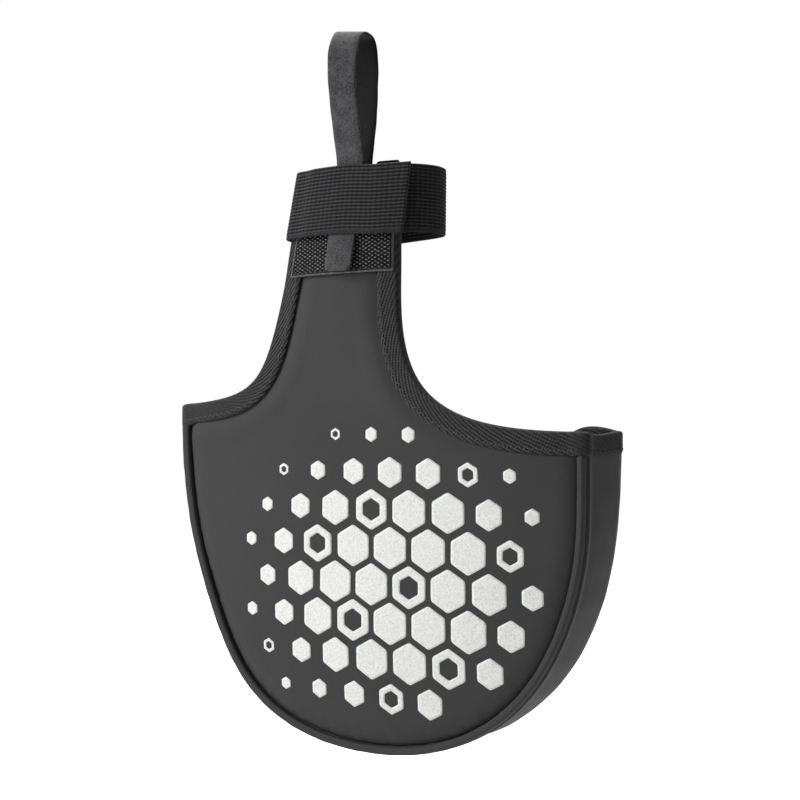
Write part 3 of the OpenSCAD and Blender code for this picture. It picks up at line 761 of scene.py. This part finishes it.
# %% Binding in one loop
mouth_part = slice(len(seam) + 3, -3)
fronts = [front_section(p, n) for p, n in zip(outline[mouth_part], outline_in[mouth_part])][::-1]
xs = rim_x(np.linspace(-1, 1, 2001))
rim_line = resampled(np.stack([xs, rim_z(xs)], 1), STEP)
rim_in = right_of(unit(np.gradient(rim_line, axis=0)))
rims = [rim_section(p, n) for p, n in zip(rim_line[3:-3], rim_in[3:-3])]
left_side, right_side = ([side_section(y, side) for y in np.linspace(7, 36, 14)]
                         for side in (-1, 1))
rear_out = float(back_edge(CORNER_R)) + 0.5
front_left, front_right = (
    corner_section(side, -0.4, SEAM_BACK + 0.3, (0.64, -0.77), 2.0, drop)
    for side, drop in ((-1, 3.2), (1, 0.4)))
rear_left, rear_right = (
    corner_section(side, rear_out, DEPTH - 1.8, (0.64, 0.77), -0.9, 0.5) for side in (-1, 1))


def joined(before, corner, after):
    """Sections across a corner, on smooth curves that leave and reach the tape in its own line."""
    p0, p1, p2, p3, p4 = before[-2], before[-1], corner, after[0], after[1]

    def leap(a, b):
        return np.linalg.norm(b - a, axis=1).mean()

    def between(a, slope_a, b, slope_b, t):
        return ((2 * t**3 - 3 * t**2 + 1) * a + (t**3 - 2 * t**2 + t) * slope_a
                + (3 * t**2 - 2 * t**3) * b + (t**3 - t**2) * slope_b)

    leaving = (p1 - p0) * leap(p1, p2) / leap(p0, p1)
    arriving = (p4 - p3) * leap(p2, p3) / leap(p3, p4)
    through = (p3 - p1) / leap(p1, p3)
    steps = np.arange(1, 6) / 6
    first = [between(p1, leaving, p2, through * leap(p1, p2), t) for t in steps]
    second = [between(p2, through * leap(p2, p3), p3, arriving, t) for t in steps]
    return first + [p2] + second


chain = [fronts, front_left, left_side, rear_left, rims, rear_right, right_side[::-1], front_right]
loop = []
for k in range(0, len(chain), 2):
    run, corner, after = chain[k], chain[k + 1], chain[(k + 2) % len(chain)]
    loop += run + joined(run, corner, after)
loop = np.array(loop)
# Point 5 of a section lies in the middle of the tape's outer face. Its two ends meet under the
# strap
start = int(np.argmin(np.hypot(loop[:, 5, 0] - NECK_MID, loop[:, 5, 2] - NECK_CUT)))
loop = np.roll(loop, -start, axis=0)
u = lengths(loop[:, 5])
# The tape is pressed flat in the fold, towards the left corner and over the gusset's ends
pressed = np.maximum(1 - np.abs(along_s) / 3, smooth((-loop[..., 0] - 60) / 35))
pressed = np.maximum(pressed, 0.9 * smooth((loop[..., 0] - 117) / 6))
binding = swept("binding_tape", loop, closed=True, cloth=stacked(u[:, None], along_s, pressed))
ended(binding, twill, "edge_binding")
print("binding: one tape,", round(u[-1]), "mm long")

# %% [markdown]
# ## Hook patch
# A rectangle of hook tape lies across the neck over both bindings. It is a thin plate that follows
# the neck's bow, rounded at its edges, with a border free of hooks at its sides and its foot.

# %% Hook patch
PATCH_T, PATCH_LOW, PATCH_IN = 1.4, 256.0, 3.4
PATCH_ROWS, PATCH_COLS = 70, 60
TAPE_H = PANEL_T / 2 + TAPE_GAP + TAPE_T
PATCH_FRONT = TAPE_H + PATCH_T + 0.1


def patch_x(z, t):
    low, high = neck_left_x(z) + PATCH_IN + 2, NECK_RIGHT - 1.6
    return low + (high - low) * t


z = np.repeat(np.linspace(PATCH_LOW, NECK_TOP - 4, PATCH_ROWS)[:, None], PATCH_COLS, 1)
x = patch_x(z, np.linspace(0, 1, PATCH_COLS))
i, j = np.indices(z.shape)
rim_steps = np.min([i, PATCH_ROWS - 1 - i, j, PATCH_COLS - 1 - j], axis=0)
fall = np.array([0.45, 0.15, 0.036, 0])[np.minimum(rim_steps, 3)]
outer = stacked(x, front_mid(x, z) - TAPE_H - (PATCH_T + 0.1) * (1 - fall), z)
inner = stacked(x, front_mid(x, z) - TAPE_H - 0.1, z)
from_edge = np.min([z - PATCH_LOW, x - x[:, :1], x[:, -1:] - x], axis=0)
cloth = stacked(x, z, from_edge)
hook_patch = shelled("hook_patch_tape", outer, inner, np.array([cloth, cloth]))
ended(hook_patch, hooks, "hook_patch")

# %% [markdown]
# ## Strap
# One length of elastic webbing: sewn behind the neck's right half, out to the right, round the
# seat tube, back round the left edge and over the hook patch, with its free end past the neck's
# right edge. The plan points are joined by a smooth curve, and the section across the strap is a
# comb of ribs on both faces. It leans with the neck's left edge and stands upright at the right.


# %% Strap with real ribs
def curve_through(p, steps):
    """The smooth curve through all points, with so many steps between two of them."""
    p = np.asarray(p, float)
    out = []
    for i in range(len(p) - 1):
        a, b, c, d = p[max(0, i - 1)], p[i], p[i + 1], p[min(len(p) - 1, i + 2)]
        for t in np.arange(steps) / steps:
            out.append(0.5 * (2 * b + (c - a) * t + (2 * a - 5 * b + 4 * c - d) * t * t
                              + (3 * b - a - 3 * c + d) * t**3))
    return np.array(out + [p[-1]])


STRAP_LEFT = neck_left_x(STRAP_H) - 0.3 - STRAP_T / 2
STACK = 2.65  # of the suede strip and the hook pad under the strap's free end
LEAN_LEFT, LEAN_RIGHT = 0.21, 0.04


def lean_at(x):
    share = (np.asarray(x) - STRAP_LEFT) / (NECK_RIGHT - STRAP_LEFT)
    return LEAN_LEFT + (LEAN_RIGHT - LEAN_LEFT) * share


def behind(x):
    return float(front_mid(x + lean_at(x) * STRAP_W / 2, STRAP_H)) + TAPE_H + 0.3 + STRAP_T / 2


def before(x, lift):
    return float(front_mid(x, STRAP_H)) - PATCH_FRONT - lift - STRAP_T / 2


R, M, L, D = NECK_RIGHT, NECK_MID, STRAP_LEFT, LOOP_DEPTH
strap_points = [
    (R - 16, behind(R - 16)), (R - 9, behind(R - 9)), (R - 2, behind(R - 2)),
    (R + 4.5, behind(R) + 3.6), (R + 10.5, 9 + (D - 9) * 0.35), (R + 12.7, 9 + (D - 9) * 0.58),
    (R + 10.6, 9 + (D - 9) * 0.82), (R, D - 1), (M + 15, D), (M, D), (M - 16, D - 2.2),
    (M - 28, 9 + (D - 9) * 0.72), (L + 0.8, 9 + (D - 9) * 0.4), (L - 0.5, 9 + (D - 9) * 0.08),
    (L - 0.6, 4.2), (L - 0.5, float(front_mid(L, STRAP_H)) - TAPE_H + 0.4),
    (L + 2.2, before(L + 6, 0.7)), (L + 9, before(L + 9, 1.4)), (M - 19, before(M - 19, STACK)),
    (M - 9, before(M - 9, STACK + 0.1)), (M, before(M, STACK + 0.2)),
    (M + 9, before(M + 9, STACK + 0.3)), (M + 18, before(M + 18, STACK + 0.5)),
    (M + 25, before(M + 25, STACK + 1)), (R + 8.2, before(R, STACK) + 0.8)]


def webbing_band(name, path, low, high, thick, rib, rise=0.0, lean=0.0, trim=0.0):
    """Woven band along a plan path, with ribs as a comb on both faces that fades at the selvedges.

    The rise, the extra lean and the trim off the top may differ from point to point of the path."""
    rise, lean, trim = (np.reshape(given, (-1, 1)) for given in (rise, lean, trim))
    normal = right_of(unit(np.gradient(path, axis=0)))
    z = np.linspace(low, high, int((high - low) / RIB * 6) + 1)
    edge = np.minimum(z - low, high - z)
    comb = rib * (0.5 - 0.5 * np.cos(2 * np.pi * z / RIB))
    comb = comb * smooth((z - low - 2.0) / 0.9) * smooth((high - z - 0.9) / 1.2)
    half = thick / 2 * np.sqrt(np.clip(1 - (1 - np.clip(edge / (thick / 2), 0, 1)) ** 2, 0.1, 1))
    half = half - rib + comb
    shift = (lean_at(path[:, :1]) + lean) * (z - STRAP_H)
    height = z + rise - trim * (z - low) / (high - low)
    skins = [stacked(path[:, :1] + side * normal[:, :1] * half + shift,
                     path[:, 1:] + side * normal[:, 1:] * half, height) for side in (1, -1)]
    cloth = stacked(lengths(path)[:, None], z, edge)
    return swept(name, np.concatenate([skins[0][:, ::-1], skins[1]], 1),
                 cloth=np.concatenate([cloth[:, ::-1], cloth], 1))


strap_path = resampled(curve_through(strap_points, 12), 1.5)
u = lengths(strap_path)
from_mid = strap_path[:, 0] - M
strap_rise = np.where(u > u[-1] - 75, -1.4 * smooth(from_mid / 25),
                      smooth(from_mid / 35) * smooth(u / 20))
strap_lean = 0.12 * smooth((u - u[-1] + 14) / 14)
strap = webbing_band("strap_webbing", strap_path, STRAP_LOW, STRAP_TOP, STRAP_T, 0.22,
                     strap_rise, strap_lean)
ended(strap, webbing, "strap")
under = slice(-12, -2)
to_neck = -right_of(unit(np.gradient(strap_path, axis=0)))
pad_path = (strap_path + to_neck * (STRAP_T + 1.3) / 2)[under]
pad = webbing_band("strap_hook_pad", pad_path, STRAP_LOW + 4, STRAP_TOP - 4, 1.2, 0.1,
                   strap_rise[under], strap_lean[under])
ended(pad, hooks, "strap_pad")
stay_x = np.linspace(R - 19, R - 4.2, 30)
stay_path = np.array([(x, behind(x) + STRAP_T / 2 + 0.7 + 0.3) for x in stay_x])
from_end = np.clip(1 - np.minimum(stay_x - stay_x[0], stay_x[-1] - stay_x) / 2.2, 0, 1)
stay = webbing_band("strap_stay_webbing", stay_path, STRAP_H - 8, STRAP_TOP + 3.6, 1.4, 0.15,
                    trim=2.2 * (1 - np.sqrt(1 - from_end**2)))
ended(stay, webbing, "strap_stay")
print("strap:", round(u[-1]), "mm long")

# %% [markdown]
# ## Suede strip
# One strip makes both the hang loop and the pull tab. It is sewn in behind the neck, stands up in
# a loop, comes down the front under the strap and ends in a tab with round corners.

# %% Suede strip
STRIP_W, STRIP_T, STRIP_TOP, END_R = 16.2, 1.6, 386.0, 3.0
sf = float(front_mid(M + 3, STRAP_H)) - PATCH_FRONT - 0.45 - STRIP_T / 2
sb = float(front_mid(M + 6, STRAP_H)) + TAPE_H + 0.6 + STRIP_T / 2
turn = float(front_mid(M + 6, STRAP_H) - front_mid(M + 5, STRAP_H))
N, H = NECK_TOP, STRIP_TOP - NECK_TOP
strip_points = [
    (M + 5, sb, N - 24), (M + 5, sb, N - 10), (M + 5, sb + 0.4, N + 2),
    (M + 5.3, sb + 2.9, N + H * 0.28), (M + 5.6, sb + 4.6, N + H * 0.54),
    (M + 6.3, sb + 3.4, N + H * 0.79), (M + 7.1, sb - 0.8, N + H * 0.95),
    (M + 7.7, -1.2, STRIP_TOP - STRIP_T / 2), (M + 7.5, -8.6, N + H * 0.968),
    (M + 7.1, sf - 8.6, N + H * 0.83), (M + 6.9, sf - 9.6, N + H * 0.62),
    (M + 7.1, sf - 7.6, N + H * 0.38), (M + 6.9, sf - 3.3, N + H * 0.15), (M + 6.3, sf, N - 3),
    (M + 3.8, sf, STRAP_H), (M + 1.0, sf, STRAP_LOW + 1), (M + 0.1, sf - 1.2, PATCH_LOW + 11),
    (M - 0.5, sf - 2.7, PATCH_LOW + 1)]
strip_path = resampled(curve_through(strip_points, 14), 1.2)
u = lengths(strip_path)
d = unit(np.gradient(strip_path, axis=0))
to_end = np.clip(u[-1] - u, 0, END_R)
half_strip = STRIP_W / 2 - END_R + np.sqrt(np.maximum(END_R**2 - (END_R - to_end) ** 2, 0.05))
half_strip = half_strip * (1 + 0.012 * np.sin(u / 6.3) + 0.008 * np.sin(u / 2.3))
across = np.array([-1, -0.985, -0.95, -0.6, -0.2, 0.2, 0.6, 0.95, 0.985, 1])
skin = STRIP_T / 2 * np.array([0.35, 0.8, 1, 1, 1, 1, 1, 1, 0.8, 0.35])
# The top of the loop is turned to face a little left, and rolled by a few degrees, its left end up
over_neck = strip_path[:, 2] - NECK_TOP
yaw, roll = 0.2 * smooth((over_neck - 38) / 26), -0.09 * smooth((over_neck - 20) / 40)
side = unit(stacked(1, turn + yaw, roll))
thick = unit(np.cross(d, side))
thick = thick * np.sign(thick[:, 1] * d[:, 2] - thick[:, 2] * d[:, 1])[:, None]
flat = strip_path[:, None, :] + (half_strip[:, None] * across)[..., None] * side[:, None, :]
lift = thick[:, None, :] * skin[:, None]
ring = np.concatenate([flat - lift, (flat + lift)[:, ::-1]], 1)
cloth = np.zeros(ring.shape)
cloth[:, :len(across)] = 1.0  # the side that faces into the loop
ended(swept("suede_loop_strip", ring, cloth=cloth), suede, "hang_strip")
print("suede strip:", round(u[-1]), "mm long")

# %% [markdown]
# ## Print
# A field of six-sided cells in silver ink, large in the middle of the pouch and smaller towards
# its edge, some of them open. Each cell is a film of ink that follows the leather: rings from the
# corner-rounded outline to the middle, or to the hole.


# %% Printed honeycomb
PITCH, CELL_GAP, FIELD_R = 23.0, 3.2, 80.0
PRINT_X, PRINT_Z = 31.0, 89.0
FILM, HOLE, SOLID, CUT = 0.12, 0.55, 0.12, 0.12
FLAT = np.cos(np.radians(30))  # half a hexagon's width for each unit from its middle to a corner


def cell_outline(x, z, r):
    """Hexagon with round corners, as 48 points."""
    a = np.radians(np.arange(30, 390, 60))
    corner = np.stack([x + r * np.cos(a), z + r * np.sin(a)], 1)
    points = []
    for c, last, following in zip(corner, np.roll(corner, 1, 0), np.roll(corner, -1, 0)):
        p, q = c + (last - c) * CUT, c + (following - c) * CUT
        far = following + (c - following) * CUT
        points += [(1 - t) ** 2 * p + 2 * t * (1 - t) * c + t * t * q for t in (0, 1 / 3, 2 / 3, 1)]
        points += [q + (far - q) * t for t in (0.2, 0.4, 0.6, 0.8)]
    return np.array(points)


points, faces = [], []
for row in range(-5, 6):
    for column in range(-6, 6):
        x, z = PRINT_X + PITCH * (column + row % 2 / 2), PRINT_Z + PITCH * FLAT * row
        away = np.hypot((x - PRINT_X) / (1.3 if x < PRINT_X else 1), z - PRINT_Z) / FIELD_R
        r = (PITCH - CELL_GAP) / 2 / FLAT * (1 - 0.75 * smooth((away - 0.45) / 0.75))
        clear = seam_dist(x, z) > r + 9 and mouth_dist(np.array([[x, z]]))[0] > r + TAPE_W + 4
        if away >= 1.1 or not clear:
            continue
        is_open = (row + 2 * column + 30) % 5 == 0
        hole = HOLE if is_open else SOLID
        edge = cell_outline(x, z, r)
        ring_shares = np.linspace(1, hole, max(4, int(r * (1 - hole) / 1.6) + 2))
        rings = [[x, z] + (edge - [x, z]) * share for share in ring_shares]
        stack = [(rings[0], 0.0)] + [(q, FILM) for q in rings] + [(rings[-1], 0.0)] * is_open
        start, m = len(points), len(edge)
        for q, lift in stack:
            points += stacked(q[:, 0], face_y(*q.T) - lift, q[:, 1]).tolist()
        faces += grid_faces(len(stack), m, start=start, wrap_cols=True)
        if not is_open:
            faces.append(list(range(len(points) - m, len(points))))
ended(new_piece("silver_print_cells", points, faces), ink, "print")

# %% [markdown]
# ## Stitching
# The binding is held by a zigzag near its inner edge, the patch by a row of lockstitch. Each stitch
# is a short bead of thread that dips into the cloth at both ends. They are all one piece of thread,
# as on the bench.


# %% Zigzag and lockstitch
ZIGZAG_STEP, LOCK_STEP, LOCK_STITCH, THREAD_R = 2.2, 3.1, 2.3, 0.27
beads = []


def bead(start, end, nrm):
    """One stitch from start to end, raised in its middle along the normal, as six rings of six."""
    t = np.linspace(0.04, 0.96, 6)[:, None]
    swell = np.sin(np.pi * t)
    p = start + (end - start) * t + nrm * (0.32 * swell - 0.14)
    s = unit(np.cross(end - start, nrm))
    a = np.radians([0, 60, 120, 180, 240, 300])[None, :, None]
    r = (THREAD_R * (0.45 + 0.55 * swell))[:, :, None]
    beads.append(p[:, None, :] + r * (np.cos(a) * s + np.sin(a) * nrm))


# A section of the tape has its outer front face at the points 0 to 9 and its outer back face at 27
# to 18, from the sewn edge to the fold. The points 30 and 31 lie inside the fold
for front, inside in ((True, 31), (False, 30)):
    near, *halves = (loop[:, k if front else 27 - k] for k in (3, 4, 5))
    far = (halves[0] + halves[1]) / 2
    nrm = unit(np.cross(np.gradient(near, axis=0), far - near))
    nrm = nrm * np.sign((nrm * (near - loop[:, inside])).sum(1))[:, None]
    u = lengths(near)
    where = np.arange(1.0, u[-1], ZIGZAG_STEP)
    turns = [at_lengths(near, u, where), at_lengths(far, u, where)]
    lifts = unit(at_lengths(nrm, u, where))
    for k in range(len(where) - 1):
        bead(turns[k % 2][k], turns[(k + 1) % 2][k + 1], lifts[k])
z_low, z_high, t_in = PATCH_LOW + 1.6, NECK_TOP - 6, 0.03
z, t = np.array([(z, t_in) for z in np.linspace(z_high, z_low, 50)[:-1]]
                + [(z_low, t) for t in np.linspace(t_in, 1 - t_in, 60)]
                + [(z, 1 - t_in) for z in np.linspace(z_low, z_high, 50)[1:]]).T
x = patch_x(z, t)
line = stacked(x, front_mid(x, z) - PATCH_FRONT, z)
u = lengths(line)
starts = np.arange(1.0, u[-1] - LOCK_STITCH - 1, LOCK_STEP)
for start, end in zip(at_lengths(line, u, starts), at_lengths(line, u, starts + LOCK_STITCH)):
    bead(start, end, np.array([0, -1.0, 0]))
faces = []
for k in range(0, 36 * len(beads), 36):
    faces += grid_faces(6, 6, start=k, wrap_cols=True)
    faces += [[k + 5 - j for j in range(6)], [k + 30 + j for j in range(6)]]
along = np.arange(36 * len(beads))[:, None] * 0.37
stitches = new_piece("sewing_thread", np.array(beads), faces, np.repeat(along, 3, 1))
ended(stitches, thread)

# %% [markdown]
# ## Camera, light and floor
# The photograph was taken from about 30 degrees to the right and from just below the middle, with
# a normal lens. A broad softbox stands front left and above, a second lamp hangs above and behind,
# and a faint strip lies low at the right. The world and the paper are white where the camera or a
# gloss sees them, but they light the cover little, so that its own shades stay. The cover hangs, so
# the floor is a little below it.

# %% Camera
def aimed(thing, at, target):
    """Puts a camera or a lamp in its place and turns it to its target."""
    thing.location = at
    thing.rotation_euler = (Vector(target) - Vector(at)).to_track_quat("-Z", "Y").to_euler()


camera = new_object("camera", bpy.data.cameras.new("camera"))
aimed(camera, placed([318.4, -502.0, 179.8]), placed([22.75, 0, 186.95]))
camera.data.lens, camera.data.sensor_width = 49.5, 36
camera.data.clip_start = 0.01
bpy.context.scene.camera = camera


# %% Lamps, world and floor
def lamp(name, at, target, wide, high, power):
    data = bpy.data.lights.new(name, "AREA")
    data.shape, data.size, data.size_y, data.energy = "RECTANGLE", wide, high, power
    aimed(new_object(name, data), at, target)


def seen(tree):
    """1 for the rays that see the white itself, and 0 for those that carry its light."""
    rays = add(tree, "LightPath").outputs
    either = add(tree, "Math", (rays["Is Camera Ray"], rays["Is Glossy Ray"]),
                 operation="MAXIMUM")
    return add(tree, "Math", (either, rays["Is Transmission Ray"]), operation="MAXIMUM")


lamp("key_softbox", (-0.6, -0.62, 0.25), (-0.02, 0.0, -0.08), 0.5, 0.6, 9.4)
lamp("top_light", (-0.15, 0.1, 0.75), (0.0, 0.0, 0.0), 0.4, 0.4, 10.0)
lamp("low_fill", (0.42, -0.12, -0.335), (0.1, 0.0, -0.22), 0.3, 0.05, 0.08)

world = bpy.data.worlds.new("white_studio")
bpy.context.scene.world = world
world.use_nodes = True
tree = world.node_tree
tree.nodes.clear()
power = add(tree, "MapRange", (seen(tree), 0, 1, 0.1, 1.0))
sky = add(tree, "Background", {"Color": "#ffffff", "Strength": power})
add(tree, "OutputWorld", {"Surface": sky})

FLOOR_HALF, FLOOR_Z = 6.0, float(cad_box[0][2]) - 0.05
floor_mesh = bpy.data.meshes.new("floor")
floor_mesh.from_pydata([(x * FLOOR_HALF, y * FLOOR_HALF, FLOOR_Z)
                        for x, y in ((-1, -1), (1, -1), (1, 1), (-1, 1))], [], [(0, 1, 2, 3)])
floor = new_object("floor", floor_mesh)
paper, tree = new_material("pale_studio_paper")
power = add(tree, "Math", (seen(tree), 0.92), operation="MULTIPLY")
lift = add(tree, "Emission", {"Color": "#ffffff", "Strength": power})
both = add(tree, "AddShader", (add(tree, "BsdfDiffuse", {"Color": "#e8e8e8"}), lift))
add(tree, "OutputMaterial", {"Surface": both})
floor.data.materials.append(paper)

bpy.context.scene.view_settings.view_transform = "Standard"
